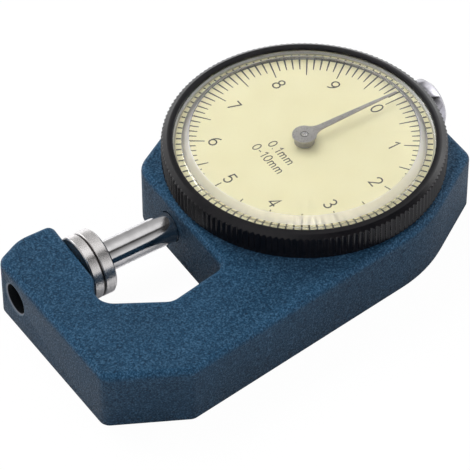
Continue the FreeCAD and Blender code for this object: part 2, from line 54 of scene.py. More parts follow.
# Camera: a long lens held above the near left corner, looking down at the dial. Its place
# comes from the circle of the glass and the dial's division lines in the photograph.
bezel_low, bezel_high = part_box("bezel")
dial_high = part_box("dial_face")[1]
glass_depth = 0.42 * MM
glass_centre = Vector((0, 0, bezel_high.z - glass_depth))
view_azimuth = math.radians(-33.52)
view_height = math.radians(45.14)
view_roll = math.radians(-0.35)
view_distance = 664.39 * MM
view_offset = (13.17 * MM, 18.41 * MM)
focal_pixels = 3500.0
frame_pixels = 470.0
sensor_width = 36.0

camera_data = bpy.data.cameras.new("camera")
camera_data.sensor_width = sensor_width
camera_data.lens = focal_pixels / frame_pixels * sensor_width
camera_data.clip_start = 0.05
camera_data.clip_end = 20.0
camera = bpy.data.objects.new("camera", camera_data)
bpy.context.scene.collection.objects.link(camera)
back = Vector((
    math.sin(view_azimuth) * math.cos(view_height),
    -math.cos(view_azimuth) * math.cos(view_height),
    math.sin(view_height),
))
level_right = Vector((math.cos(view_azimuth), math.sin(view_azimuth), 0))
level_up = back.cross(level_right)
right = math.cos(view_roll) * level_right + math.sin(view_roll) * level_up
up = -math.sin(view_roll) * level_right + math.cos(view_roll) * level_up
aim = glass_centre - right * view_offset[0] - up * view_offset[1]
camera.matrix_world = Matrix.Translation(aim + back * view_distance) @ Matrix((
    (right.x, up.x, back.x),
    (right.y, up.y, back.y),
    (right.z, up.z, back.z),
)).to_4x4()
bpy.context.scene.camera = camera
bpy.context.scene.view_settings.view_transform = "Standard"


# Studio: a white table top and room that read as plain white to the lens. Polished metal
# sees its own room: bright overhead, a narrow dark gap between there and the lens, a bright
# near side and a grey far side, with a soft box at the back and one on the right.
room_light = 0.70
table_half = 3.0
table_white_share = 0.97
box_gain = 3.6
box_softness = 0.08


def add_lamp(name, place, size, power, colour):
    """A square soft lamp at a place in metres, turned to face the gauge."""
    lamp_data = bpy.data.lights.new(name, "AREA")
    lamp_data.shape = "SQUARE"
    lamp_data.size = size
    lamp_data.energy = power
    lamp_data.color = colour
    lamp = bpy.data.objects.new(name, lamp_data)
    lamp.visible_glossy = False
    bpy.context.scene.collection.objects.link(lamp)
    turn = (-Vector(place)).to_track_quat("-Z", "Y")
    lamp.matrix_world = Matrix.Translation(place) @ turn.to_matrix().to_4x4()


def shades(tree, value, *stops):
    """A ramp over a value, through (place, colour) stops."""
    ramp = tree.nodes.new("ShaderNodeValToRGB")
    elements = ramp.color_ramp.elements
    while len(elements) < len(stops):
        elements.new(1.0)
    for element, (place, colour) in zip(elements, stops):
        element.position = place
        element.color = (*colour, 1)
    tree.links.new(value, ramp.inputs["Fac"])
    return ramp.outputs["Color"]


def greys(tree, value, *stops):
    """A ramp over a value, through (place, grey) stops."""
    return shades(tree, value, *[(place, (grey, grey, grey)) for place, grey in stops])


def between(tree, value, low, high):
    """A value mapped to 0..1 between two limits."""
    span = tree.nodes.new("ShaderNodeMapRange")
    span.inputs["From Min"].default_value = low
    span.inputs["From Max"].default_value = high
    tree.links.new(value, span.inputs["Value"])
    return span.outputs["Result"]


def sums(tree, how, first, second):
    """One step of arithmetic on two values, which may be numbers or sockets."""
    step = tree.nodes.new("ShaderNodeMath")
    step.operation = how
    for socket, value in ((step.inputs[0], first), (step.inputs[1], second)):
        if hasattr(value, "links"):
            tree.links.new(value, socket)
        else:
            socket.default_value = value
    return step.outputs[0]


def soft_box(tree, towards, direction, edge):
    """1 inside a soft-edged round patch of the sky about a direction, and 0 outside it."""
    spread = tree.nodes.new("ShaderNodeVectorMath")
    spread.operation = "DOT_PRODUCT"
    spread.inputs[1].default_value = Vector(direction).normalized()
    tree.links.new(towards, spread.inputs[0])
    return between(tree, spread.outputs["Value"], edge - box_softness, edge + box_softness)


def sky(tree, colour, strength):
    """One even light for the room."""
    shade = tree.nodes.new("ShaderNodeBackground")
    shade.inputs["Color"].default_value = (*colour, 1)
    shade.inputs["Strength"].default_value = strength
    return shade


def pick(tree, share, first, second):
    """The first shader, or the second one for the rays in the share."""
    mix = tree.nodes.new("ShaderNodeMixShader")
    tree.links.new(share, mix.inputs[0])
    tree.links.new(first.outputs[0], mix.inputs[1])
    tree.links.new(second.outputs[0], mix.inputs[2])
    return mix


world = bpy.data.worlds.new("room")
bpy.context.scene.world = world
world.use_nodes = True
room = world.node_tree
room.nodes.clear()
room_out = room.nodes.new("ShaderNodeOutputWorld")
room_path = room.nodes.new("ShaderNodeLightPath")
geometry = room.nodes.new("ShaderNodeNewGeometry")
towards = room.nodes.new("ShaderNodeVectorMath")
towards.operation = "SCALE"
towards.inputs["Scale"].default_value = -1.0
room.links.new(geometry.outputs["Incoming"], towards.inputs[0])
axes = room.nodes.new("ShaderNodeSeparateXYZ")
room.links.new(towards.outputs[0], axes.inputs[0])
lean = sums(room, "ARCTAN2", sums(room, "MULTIPLY", axes.outputs["Y"], -1.0), axes.outputs["Z"])
turn = between(room, lean, -math.pi, math.pi)
band_stops = (
    (-100, 0.90), (-88, 0.80), (-76, 0.42), (-60, 0.42), (-30, 0.58), (-12, 0.86), (0, 0.94), (12, 0.92),
    (16, 0.60), (20, 0.05), (29, 0.05), (34, 0.22), (46, 0.42), (66, 0.80), (77, 0.85), (90, 0.50),
)
bands = greys(room, turn, *[(0.5 + angle / 360, grey) for angle, grey in band_stops])
left_box = soft_box(room, towards.outputs[0], (-0.25, 0.90, 0.30), 0.90)
right_box = soft_box(room, towards.outputs[0], (0.92, 0.25, 0.30), 0.88)
boxes = sums(room, "MULTIPLY", sums(room, "MAXIMUM", left_box, right_box), box_gain)
room_mirror = sky(room, (1, 1, 1), 1.0)
room.links.new(bands, room_mirror.inputs["Color"])
room.links.new(sums(room, "ADD", boxes, 1.0), room_mirror.inputs["Strength"])
room_even = sky(room, (0.95, 0.97, 1.0), room_light)
room_white = sky(room, (1, 1, 1), 1.0)
room_seen = pick(room, room_path.outputs["Is Glossy Ray"], room_even, room_mirror)
room_seen = pick(room, room_path.outputs["Is Camera Ray"], room_seen, room_white)
room.links.new(room_seen.outputs[0], room_out.inputs["Surface"])

table_data = bpy.data.meshes.new("table_top")
table_data.from_pydata(
    [(-table_half, -table_half, 0), (table_half, -table_half, 0), (table_half, table_half, 0),
     (-table_half, table_half, 0)], [], [(0, 1, 2, 3)])
table_top = bpy.data.objects.new("table_top", table_data)
bpy.context.scene.collection.objects.link(table_top)
table_paint = bpy.data.materials.new("white_table")
table_paint.use_nodes = True
table_tree = table_paint.node_tree
table_shade = table_tree.nodes["Principled BSDF"]
table_shade.inputs["Base Color"].default_value = (0.80, 0.80, 0.81, 1)
table_shade.inputs["Roughness"].default_value = 0.9
table_white = table_tree.nodes.new("ShaderNodeEmission")
table_path = table_tree.nodes.new("ShaderNodeLightPath")
straight_ray = table_path.outputs["Is Camera Ray"]
ray_through_glass = table_path.outputs["Is Transmission Ray"]
lens_rays = sums(table_tree, "MAXIMUM", straight_ray, ray_through_glass)
white_share = sums(table_tree, "MULTIPLY", lens_rays, table_white_share)
table_mix = pick(table_tree, white_share, table_shade, table_white)
table_tree.links.new(table_mix.outputs[0], table_tree.nodes["Material Output"].inputs["Surface"])
table_data.materials.append(table_paint)

add_lamp("key_lamp", (-0.10, 0.62, 0.72), 0.50, 8.5, (1.0, 0.99, 0.97))
add_lamp("near_lamp", (-0.45, -0.75, 0.55), 0.45, 2.6, (0.97, 0.98, 1.0))
add_lamp("side_lamp", (0.85, -0.20, 0.55), 0.5, 2.2, (1.0, 1.0, 1.0))


# Frame: one iron casting with a sand-textured teal-blue stoved paint, which has fine pale
# grains. A painted highlight runs just under its top edge, with painted shade on the sides
# below it. The bore in its left end is near black inside, bare iron with painted shade, and
# has a pale ring round its rim.
def solid_copy(node, corner_angle):
    """A merged copy of a CAD solid, shaded smooth up to a corner angle."""
    copy_data = nodes[node].data.copy()
    copy_data.name = node + "_finished"
    copy_data.materials.clear()
    merged = bmesh.new()
    merged.from_mesh(copy_data)
    bmesh.ops.remove_doubles(merged, verts=merged.verts, dist=0.001 * MM)
    merged.to_mesh(copy_data)
    merged.free()
    copy_data.shade_smooth()
    copy_data.set_sharp_from_angle(angle=math.radians(corner_angle))
    piece = bpy.data.objects.new(node + "_finished", copy_data)
    bpy.context.scene.collection.objects.link(piece)
    return piece


def place_piece(piece, material, body, slot, *replaced):
    """Gives a piece its finish, its body and the CAD nodes that it stands for."""
    piece.data.materials.append(material)
    if replaced:
        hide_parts(*replaced)
    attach(piece, body)
    return piece


def dress(node, body, slot, material, corner_angle=28.0):
    """The smoothly shaded copy of a CAD solid in its finish."""
    return place_piece(solid_copy(node, corner_angle), material, body, slot, node)


def new_finish(name, colour, metallic, roughness):
    """A material with its Principled shader's plain values set."""
    material = bpy.data.materials.new(name)
    material.use_nodes = True
    tree = material.node_tree
    shade = tree.nodes["Principled BSDF"]
    shade.inputs["Base Color"].default_value = (*colour, 1)
    shade.inputs["Metallic"].default_value = metallic
    shade.inputs["Roughness"].default_value = roughness
    return material, tree, shade


def grain(tree, size, detail=2.0, stretch=(1, 1, 1)):
    """Noise whose grains have a size in metres, stretched along the piece's axes."""
    place = tree.nodes.new("ShaderNodeTexCoord")
    turn = tree.nodes.new("ShaderNodeMapping")
    turn.inputs["Scale"].default_value = stretch
    noise = tree.nodes.new("ShaderNodeTexNoise")
    noise.inputs["Scale"].default_value = 1.0 / size
    noise.inputs["Detail"].default_value = detail
    tree.links.new(place.outputs["Object"], turn.inputs["Vector"])
    tree.links.new(turn.outputs["Vector"], noise.inputs["Vector"])
    return noise.outputs["Fac"]


def blend_colours(tree, share, first, second, how="MIX"):
    """Mixes two colours by a share, which may be a value or a socket."""
    mix = tree.nodes.new("ShaderNodeMix")
    mix.data_type = "RGBA"
    mix.blend_type = how
    for socket, value in ((mix.inputs["Factor"], share), (mix.inputs["A"], first), (mix.inputs["B"], second)):
        if hasattr(value, "links"):
            tree.links.new(value, socket)
        elif isinstance(value, tuple):
            socket.default_value = (*value, 1)
        else:
            socket.default_value = value
    return mix.outputs["Result"]


def relief(tree, shade, height, depth, under=None):
    """A bump of a depth in metres from a height, laid over the bump under it."""
    bump = tree.nodes.new("ShaderNodeBump")
    bump.inputs["Strength"].default_value = 1.0
    bump.inputs["Distance"].default_value = depth
    tree.links.new(height, bump.inputs["Height"])
    if under is not None:
        tree.links.new(under, bump.inputs["Normal"])
    tree.links.new(bump.outputs["Normal"], shade.inputs["Normal"])
    return bump.outputs["Normal"]


def axis_distance(tree, centre, weights):
    """The distance from a line along one axis, in metres; the weight of that axis is 0."""
    place = tree.nodes.new("ShaderNodeTexCoord")
    shift = tree.nodes.new("ShaderNodeVectorMath")
    shift.operation = "SUBTRACT"
    shift.inputs[1].default_value = centre
    flat = tree.nodes.new("ShaderNodeVectorMath")
    flat.operation = "MULTIPLY"
    flat.inputs[1].default_value = weights
    reach = tree.nodes.new("ShaderNodeVectorMath")
    reach.operation = "LENGTH"
    tree.links.new(place.outputs["Object"], shift.inputs[0])
    tree.links.new(shift.outputs[0], flat.inputs[0])
    tree.links.new(flat.outputs[0], reach.inputs[0])
    return reach.outputs["Value"]


def place_along(tree, axis):
    """The place of the shaded point along one of the piece's own axes, in metres."""
    place = tree.nodes.new("ShaderNodeTexCoord")
    axes = tree.nodes.new("ShaderNodeSeparateXYZ")
    tree.links.new(place.outputs["Object"], axes.inputs[0])
    return axes.outputs[axis]


disc_low, disc_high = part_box("contact_disc")
spindle_y = (disc_low.y + disc_high.y) / 2
spindle_z = (disc_low.z + disc_high.z) / 2
spindle_line = (0, spindle_y, spindle_z)
casting_top = 13.3 * MM
painted_light_depth = 3.0 * MM
end_bore_middle = 2.6 * MM
end_bore_rim = 3.6 * MM
end_bore_start = -49.0 * MM
end_bore_full = -50.0 * MM
paint_dark = (0.002, 0.014, 0.033)
paint_mid = (0.006, 0.036, 0.076)
paint_pale = (0.034, 0.092, 0.160)
frame_paint, tree, shade = new_finish("sand_textured_paint", paint_mid, 0.0, 0.6)
shade.inputs["Specular IOR Level"].default_value = 0.22
sand = grain(tree, 0.32 * MM, 3.0)
patches = grain(tree, 9.0 * MM, 2.0)
speck = shades(tree, sand, (0.30, paint_dark), (0.50, paint_mid), (0.70, paint_pale))
cloud = greys(tree, patches, (0.25, 0.80), (0.75, 1.0))
cloudy = blend_colours(tree, 1.0, speck, cloud, "MULTIPLY")
# Painted light: a highlight band just under the top edge, and painted shade on the sides below it.
level = between(tree, place_along(tree, "Z"), casting_top - painted_light_depth, casting_top)
edge_highlight_and_side_shade = greys(tree, level, (0.0, 0.72), (0.55, 0.80), (0.80, 1.25), (0.97, 1.15), (1.0, 1.0))
painted = blend_colours(tree, 1.0, cloudy, edge_highlight_and_side_shade, "MULTIPLY")
# The bore: near black inside, bare iron with painted shade, and a pale ring round its rim.
off_axis = axis_distance(tree, spindle_line, (0, 1, 1))
bore_reach = between(tree, off_axis, end_bore_middle, end_bore_rim)
bore_iron_and_shade = shades(tree, bore_reach, (0.0, (0.002, 0.002, 0.003)), (0.43, (0.002, 0.003, 0.004)),
                     (0.50, (0.16, 0.17, 0.20)), (0.72, (0.05, 0.08, 0.11)))
left_end = between(tree, place_along(tree, "X"), end_bore_start, end_bore_full)
bore_share = sums(tree, "MULTIPLY", greys(tree, bore_reach, (0.75, 1.0), (0.95, 0.0)), left_end)
tree.links.new(blend_colours(tree, bore_share, painted, bore_iron_and_shade), shade.inputs["Base Color"])
tree.links.new(greys(tree, sand, (0.35, 0.72), (0.75, 0.48)), shade.inputs["Roughness"])
coarse = relief(tree, shade, grain(tree, 0.9 * MM, 2.0), 0.10 * MM)
relief(tree, shade, sand, 0.16 * MM, coarse)
dress("frame", "frame", "frame_paint", frame_paint, 25.0)


# Anvil and spindle: hardened steel discs, turned and then lapped on their faces. The rod is
# centreless ground bright, so it shows the room as long soft bands.
def steel(name, colour, roughness, fine, stretch):
    """Bright steel with fine tool marks that run along one direction."""
    material, tree, shade = new_finish(name, colour, 1.0, roughness)
    marks = grain(tree, fine, 2.0, stretch)
    polish = greys(tree, marks, (0.3, roughness * 0.75), (0.7, roughness * 1.3))
    tree.links.new(polish, shade.inputs["Roughness"])
    stain = grain(tree, 2.5 * MM, 2.0)
    dull = tuple(0.82 * value for value in colour)
    tree.links.new(shades(tree, stain, (0.3, dull), (0.7, colour)), shade.inputs["Base Color"])
    relief(tree, shade, marks, 0.004 * MM)
    return material


def plane_distance(tree, x):
    """The distance from an upright plane across the spindle, in metres."""
    return sums(tree, "ABSOLUTE", sums(tree, "SUBTRACT", place_along(tree, "X"), x), 0.0)


rod_radius = 3.0 * MM
disc_thickness = 2.65 * MM
anvil_disc_back = disc_low.x - 2.40 * MM
rim_start = 6.1 * MM
rim_full = 6.2 * MM
# The painted shade in the seam and along a rim's rear edge: its full width and its darkest core.
edge_shadow = 0.24 * MM
edge_shadow_core = 0.05 * MM


def turned_disc(name):
    """The steel of a disc, with painted shade in the seam and along the sharp rear edge of its rim."""
    material = steel(name, (0.86, 0.83, 0.82), 0.27, 0.35 * MM, (7, 1, 1))
    tree = material.node_tree
    shade = tree.nodes["Principled BSDF"]
    seam = plane_distance(tree, disc_low.x)
    rear_edge = plane_distance(tree, disc_low.x + disc_thickness)
    edge_shade = between(tree, sums(tree, "MINIMUM", seam, rear_edge), edge_shadow, edge_shadow_core)
    on_rim = between(tree, axis_distance(tree, spindle_line, (0, 1, 1)), rim_start, rim_full)
    metal = shade.inputs["Base Color"].links[0].from_socket
    share = sums(tree, "MULTIPLY", edge_shade, on_rim)
    # Painted shade: near black in the seam and along the rim's rear edge.
    tree.links.new(blend_colours(tree, share, metal, (0.02, 0.018, 0.018)), shade.inputs["Base Color"])
    return material


def true_round(piece, radius):
    """Gives the facets of a cylinder on the spindle axis the normals of the true cylinder."""
    data = piece.data
    count = len(data.vertices)
    points = np.empty(count * 3)
    data.vertices.foreach_get("co", points)
    across = points.reshape(-1, 3) * (0, 1, 1) - (0, spindle_y, spindle_z)
    reach = np.linalg.norm(across, axis=1)
    on_surface = np.abs(reach - radius) < 0.01 * MM
    corners = np.empty(len(data.loops), dtype=np.int64)
    data.loops.foreach_get("vertex_index", corners)
    faces = np.repeat(np.arange(len(data.polygons)), [len(face.vertices) for face in data.polygons])
    slant = np.array([abs(face.normal.x) for face in data.polygons])
    missed = np.bincount(faces, weights=~on_surface[corners], minlength=len(data.polygons))
    smooth = ((missed == 0) & (slant < 0.01))[faces]
    normals = np.array([corner.vector for corner in data.corner_normals])
    radial = across[corners] / np.maximum(reach[corners], 1e-9)[:, None]
    data.normals_split_custom_set(np.where(smooth[:, None], radial, normals).tolist())


disc_steel = turned_disc("turned_steel")
rod_steel = steel("ground_steel", (0.78, 0.765, 0.77), 0.10, 0.30 * MM, (1, 5, 5))


# The anvil was pressed in before the casting was sprayed, so behind its disc it carries flecks
# of the paint on a near-black ground, which is painted shade in the gap behind the disc.
spray_start = anvil_disc_back + 0.10 * MM
spray_full = anvil_disc_back + 0.04 * MM
anvil_steel = turned_disc("turned_steel_overspray_and_shade")
tree = anvil_steel.node_tree
shade = tree.nodes["Principled BSDF"]
sprayed_and_shaded = between(tree, place_along(tree, "X"), spray_start, spray_full)
metal = shade.inputs["Base Color"].links[0].from_socket
flecks = grain(tree, 0.22 * MM, 3.0)
# Paint flecks on near black; the near black is painted shade.
overspray_and_shade = shades(tree, flecks, (0.50, (0.001, 0.002, 0.004)), (0.64, paint_mid), (0.74, paint_pale))
tree.links.new(blend_colours(tree, sprayed_and_shaded, metal, overspray_and_shade), shade.inputs["Base Color"])
tree.links.new(sums(tree, "SUBTRACT", 1.0, sprayed_and_shaded), shade.inputs["Metallic"])
satin = shade.inputs["Roughness"].links[0].from_socket
tree.links.new(sums(tree, "MAXIMUM", satin, sums(tree, "MULTIPLY", sprayed_and_shaded, 0.6)), shade.inputs["Roughness"])
dress("anvil", "frame", "ground_steel", anvil_steel)
dress("contact_disc", "spindle", "ground_steel", disc_steel)
rod = dress("spindle", "spindle", "ground_steel", rod_steel)
true_round(rod, rod_radius)
dress("guide_pin", "spindle", "ground_steel", rod_steel)


# Lifting knob: a turned button on the end of the stem, polished and chromium plated.
knob_plate, tree, shade = new_finish("bright_chrome", (0.38, 0.37, 0.41), 1.0, 0.12)
wipe = grain(tree, 1.5 * MM, 3.0)
tree.links.new(greys(tree, wipe, (0.3, 0.06), (0.75, 0.17)), shade.inputs["Roughness"])
chrome = shades(tree, wipe, (0.35, (0.27, 0.265, 0.29)), (0.6, (0.41, 0.40, 0.44)))
tree.links.new(chrome, shade.inputs["Base Color"])
dress("lift_knob", "spindle", "knob_chrome", knob_plate)


# Brass work and springs: turned bushes, bearings and pillars, sheet plates, drawn spring
# wire and bright screws, all inside the casting. The coil on the stem gets a mesh of its own.
def brass(name, colour, roughness, fine, stretch):
    """Brass with a soft turned or brushed grain and slight tarnish."""
    material, tree, shade = new_finish(name, colour, 1.0, roughness)
    marks = grain(tree, fine, 2.0, stretch)
    polish = greys(tree, marks, (0.3, roughness * 0.8), (0.7, roughness * 1.3))
    tree.links.new(polish, shade.inputs["Roughness"])
    tarnish = tuple(value * share for value, share in zip(colour, (0.75, 0.68, 0.55)))
    metal = shades(tree, grain(tree, 3.0 * MM), (0.25, tarnish), (0.6, colour))
    tree.links.new(metal, shade.inputs["Base Color"])
    relief(tree, shade, marks, 0.005 * MM)
    return material


turned_brass = brass("turned_brass", (0.72, 0.54, 0.26), 0.28, 0.3 * MM, (1, 1, 6))
sheet_brass = brass("sheet_brass", (0.74, 0.58, 0.30), 0.36, 0.4 * MM, (1, 8, 1))
spring_steel = steel("drawn_spring_wire", (0.50, 0.50, 0.52), 0.30, 0.2 * MM, (5, 1, 1))
screw_steel = steel("screw_steel", (0.66, 0.66, 0.68), 0.26, 0.25 * MM, (1, 1, 5))
turned_parts = (
    "front_bush", "rear_bush", "lower_bearing", "upper_bearing", "hairspring_stud", "bridge_pillars",
)
for node in turned_parts:
    dress(node, "frame", "bush_brass", turned_brass)
dress("hairspring_collet", "pointer", "bush_brass", turned_brass)
dress("movement_bridge", "frame", "plate_brass", sheet_brass)
dress("dial_carrier", "bezel", "plate_brass", sheet_brass)
for node in ("hairspring", "bezel_spring"):
    dress(node, "frame", "spring_steel", spring_steel, 20.0)
coil = dress("return_spring", "frame", "spring_steel", spring_steel, 20.0)
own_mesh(coil)
dress("bridge_screws", "frame", "screw_steel", screw_steel)
dress("pinion_arbor", "pointer", "ground_steel", rod_steel, 20.0)


# Dial face: an aluminium disc in matt cream enamel; beyond the enamel its rim runs from dark
# olive to near white at the outer edge. The divisions, numbers and the two lines that state
# unit and range are printed on it in thin black ink.
rim_dark = 24.0 * MM
rim_bright = 25.6 * MM
enamel_edge = 24.45 * MM
enamel_edge_end = 24.52 * MM
dial_enamel, tree, shade = new_finish("cream_enamel", (0.88, 0.82, 0.52), 0.0, 0.6)
tone = grain(tree, 6.0 * MM, 3.0)
enamel = shades(tree, tone, (0.3, (0.865, 0.805, 0.500)), (0.7, (0.895, 0.840, 0.540)))
reach = axis_distance(tree, (0, 0, 0), (1, 1, 0))
rim_olive_to_white = shades(tree, between(tree, reach, rim_dark, rim_bright), (0.30, (0.34, 0.31, 0.17)),
                  (0.42, (0.52, 0.49, 0.36)), (0.52, (0.80, 0.79, 0.74)), (0.62, (0.97, 0.97, 0.96)))
enamel_end = between(tree, reach, enamel_edge, enamel_edge_end)
tree.links.new(blend_colours(tree, enamel_end, enamel, rim_olive_to_white), shade.inputs["Base Color"])
relief(tree, shade, grain(tree, 0.25 * MM, 2.0), 0.006 * MM)
dress("dial_face", "bezel", "dial_enamel", dial_enamel)

printing_ink, tree, shade = new_finish("black_ink", (0.03, 0.03, 0.028), 0.0, 0.6)
thin = grain(tree, 0.35 * MM, 2.0)
ink = shades(tree, thin, (0.3, (0.036, 0.032, 0.024)), (0.7, (0.014, 0.013, 0.011)))
tree.links.new(ink, shade.inputs["Base Color"])

ink_height = 0.02 * MM
dial_zero = math.radians(0.17)
divisions = 100
numbers_on_dial = 10
tick_width = 0.18 * MM
tick_width_outer = 0.32 * MM
tick_step = 22.45 * MM
tick_outer = 24.4 * MM
long_tick_inner = 18.85 * MM
short_tick_inner = 20.5 * MM
number_radius = 16.87 * MM
number_height = 2.65 * MM
line_height = 1.86 * MM
number_stroke = 0.28 * MM
line_stroke = 0.20 * MM


def slab(name, points, quads, low, thickness):
    """Flat quads made into closed slabs: the outline as top and bottom, with walls between."""
    count = len(points)
    top = np.column_stack([points, np.full(count, low + thickness)])
    bottom = np.column_stack([points, np.full(count, low)])
    quads = np.asarray(quads)
    edges = np.concatenate([quads[:, [0, 1]], quads[:, [1, 2]], quads[:, [2, 3]], quads[:, [3, 0]]])
    key = np.sort(edges, axis=1)
    _, back_map, uses = np.unique(key, axis=0, return_inverse=True, return_counts=True)
    rim = edges[uses[back_map.ravel()] == 1]
    walls = np.column_stack([rim[:, 0] + count, rim[:, 1] + count, rim[:, 1], rim[:, 0]])
    faces = np.concatenate([quads, quads[:, ::-1] + count, walls])
    data = bpy.data.meshes.new(name)
    data.from_pydata(np.concatenate([top, bottom]).tolist(), [], faces.tolist())
    piece = bpy.data.objects.new(name, data)
    bpy.context.scene.collection.objects.link(piece)
    return piece


def dial_ticks():
    """Each division as a radial bar that widens from its inner end to a step and then stays
    wide. Every fifth one is long."""
    number = np.arange(divisions)
    angle = dial_zero - 2 * np.pi * number / divisions
    inner = np.where(number % 5 == 0, long_tick_inner, short_tick_inner)
    along = np.column_stack([np.cos(angle), np.sin(angle)])
    across = np.column_stack([-np.sin(angle), np.cos(angle)]) / 2
    ends = (inner, np.full(divisions, tick_step), np.full(divisions, tick_outer))
    widths = (tick_width, tick_width_outer, tick_width_outer)
    pairs = [
        along * end[:, None] + side * width * across
        for end, width in zip(ends, widths)
        for side in (-1, 1)
    ]
    corners = np.stack(pairs, axis=1).reshape(-1, 2)
    first = 6 * number[:, None]
    quads = np.concatenate([first + (0, 2, 3, 1), first + (2, 4, 5, 3)])
    return corners, quads


def arc(x, y, across, height, start, end, steps=14):
    """Points on an ellipse about (x, y) between two angles in degrees."""
    turn = np.radians(np.linspace(start, end, steps))
    return np.column_stack([x + across * np.cos(turn), y + height * np.sin(turn)])


def pen(*parts):
    """One stroke of the pen through points and arcs."""
    return np.concatenate([np.atleast_2d(np.asarray(part, float)) for part in parts])


# Each sign is its width and its strokes, in heights of the line. The 9 is the 6 turned over.
six = [pen(arc(0.64, 0.32, 0.60, 0.66, 108, 176, 9)), pen(arc(0.31, 0.30, 0.27, 0.28, 0, 360, 25))]
glyphs = {
    "0": (0.62, [pen(arc(0.31, 0.5, 0.27, 0.48, 0, 360, 29))]),
    "1": (0.50, [pen((0.10, 0.76), (0.34, 0.98), (0.34, 0.0))]),
    "2": (0.62, [pen(arc(0.31, 0.71, 0.26, 0.27, 170, -38), (0.05, 0.02), (0.58, 0.02))]),
    "3": (0.62, [pen(arc(0.30, 0.74, 0.23, 0.24, 150, -90), arc(0.30, 0.26, 0.26, 0.25, 84, -150))]),
    "4": (0.64, [pen((0.44, 0.0), (0.44, 0.97), (0.04, 0.28), (0.61, 0.28))]),
    "5": (0.62, [pen((0.53, 0.97), (0.14, 0.97), (0.09, 0.53), arc(0.30, 0.31, 0.26, 0.30, 128, -150))]),
    "6": (0.62, six),
    "7": (0.60, [pen((0.05, 0.97), (0.56, 0.97), (0.22, 0.0))]),
    "8": (0.62, [pen(arc(0.31, 0.75, 0.22, 0.22, 0, 360, 23)), pen(arc(0.31, 0.27, 0.27, 0.26, 0, 360, 25))]),
    "9": (0.62, [np.array((0.62, 1.0)) - stroke for stroke in six]),
    ".": (0.24, [pen((0.11, 0.0), (0.11, 0.10))]),
    "-": (0.46, [pen((0.06, 0.42), (0.38, 0.42))]),
    "m": (0.92, [
        pen((0.08, 0.0), (0.08, 0.68)),
        pen((0.08, 0.40), arc(0.27, 0.46, 0.18, 0.19, 150, 0, 8), (0.45, 0.0)),
        pen((0.45, 0.40), arc(0.64, 0.46, 0.18, 0.19, 150, 0, 8), (0.82, 0.0)),
    ]),
}
letter_gap = 0.14


def ribbon(path, width):
    """A stroke of even width: each point moved to both sides along the corner's mitre."""
    closed = np.allclose(path[0], path[-1])
    if closed:
        path = path[:-1]
        before, after = path - np.roll(path, 1, axis=0), np.roll(path, -1, axis=0) - path
    else:
        run = np.diff(path, axis=0)
        before, after = np.concatenate([run[:1], run]), np.concatenate([run, run[-1:]])
    before = before / np.linalg.norm(before, axis=1, keepdims=True)
    after = after / np.linalg.norm(after, axis=1, keepdims=True)
    mitre = before + after
    mitre /= np.linalg.norm(mitre, axis=1, keepdims=True)
    side = np.column_stack([-mitre[:, 1], mitre[:, 0]])
    reach = width / 2 / np.clip((mitre * after).sum(axis=1), 0.55, 1.0)
    offset = side * reach[:, None]
    count = len(path)
    here = np.arange(count if closed else count - 1)
    ahead = (here + 1) % count
    quads = np.column_stack([here, ahead, ahead + count, here + count])
    return np.concatenate([path - offset, path + offset]), quads


def lettering(text, centre, height, stroke_width):
    """The strokes of a line of text, read towards -Y and upright towards +X, about a centre."""
    total = sum(glyphs[letter][0] for letter in text) + letter_gap * (len(text) - 1)
    points, quads, start, used = [], [], -total / 2, 0
    for letter in text:
        advance, strokes = glyphs[letter]
        for stroke in strokes:
            outline, faces = ribbon(stroke, stroke_width / height)
            points.append(np.column_stack([
                centre[0] + (outline[:, 1] - 0.5) * height,
                centre[1] - (outline[:, 0] + start) * height,
            ]))
            quads.append(faces + used)
            used += len(outline)
        start += advance + letter_gap
    return np.concatenate(points), np.concatenate(quads)


def gather(parts):
    """Several lots of points and quads as one."""
    points = np.concatenate([part[0] for part in parts])
    starts = np.cumsum([0] + [len(part[0]) for part in parts[:-1]])
    return points, np.concatenate([part[1] + start for part, start in zip(parts, starts)])


numbers = []
for value in range(numbers_on_dial):
    turn = dial_zero - math.radians(360 / numbers_on_dial * value)
    centre = (number_radius * math.cos(turn), number_radius * math.sin(turn))
    numbers.append(lettering(str(value), centre, number_height, number_stroke))
range_lines = [
    lettering("0.1mm", (-5.08 * MM, 0.15 * MM), line_height, line_stroke),
    lettering("0-10mm", (-8.03 * MM, 0.25 * MM), line_height, line_stroke),
]
prints = {
    "dial_divisions": dial_ticks(),
    "dial_numbers": gather(numbers),
    "range_lines": gather(range_lines),
}
for name, (points, quads) in prints.items():
    print_piece = slab(name, points, quads, dial_high.z, ink_height)
    place_piece(print_piece, printing_ink, "bezel", "dial_enamel")


# Hand: stamped steel sheet with a round eye, on a turned boss that is pressed on the arbor.
# The arbor's riveted end shows as a small disc inside a ring of painted shade.
hand_sheet = steel("grey_hand_sheet", (0.42, 0.405, 0.40), 0.32, 0.3 * MM, (1, 6, 1))
# The boss is a darker grey than the hand: painted shade for its side under the eye.
boss_steel_shaded = steel("turned_boss_steel_shaded", (0.34, 0.33, 0.34), 0.36, 0.3 * MM, (1, 1, 6))
rivet_ring = 0.66 * MM
ring_reach = 0.16 * MM
ring_core = 0.05 * MM
tree = hand_sheet.node_tree
shade = tree.nodes["Principled BSDF"]
metal = shade.inputs["Base Color"].links[0].from_socket
reach = axis_distance(tree, (0, 0, 0), (1, 1, 0))
# Painted shade: a dark ring round the arbor's riveted end.
off_ring = sums(tree, "ABSOLUTE", sums(tree, "SUBTRACT", reach, rivet_ring), 0.0)
rivet_shade = between(tree, off_ring, ring_reach, ring_core)
tree.links.new(blend_colours(tree, rivet_shade, metal, (0.07, 0.065, 0.065)), shade.inputs["Base Color"])
dress("pointer", "pointer", "hand_steel", hand_sheet)
dress("pointer_hub", "pointer", "hand_steel", boss_steel_shaded)


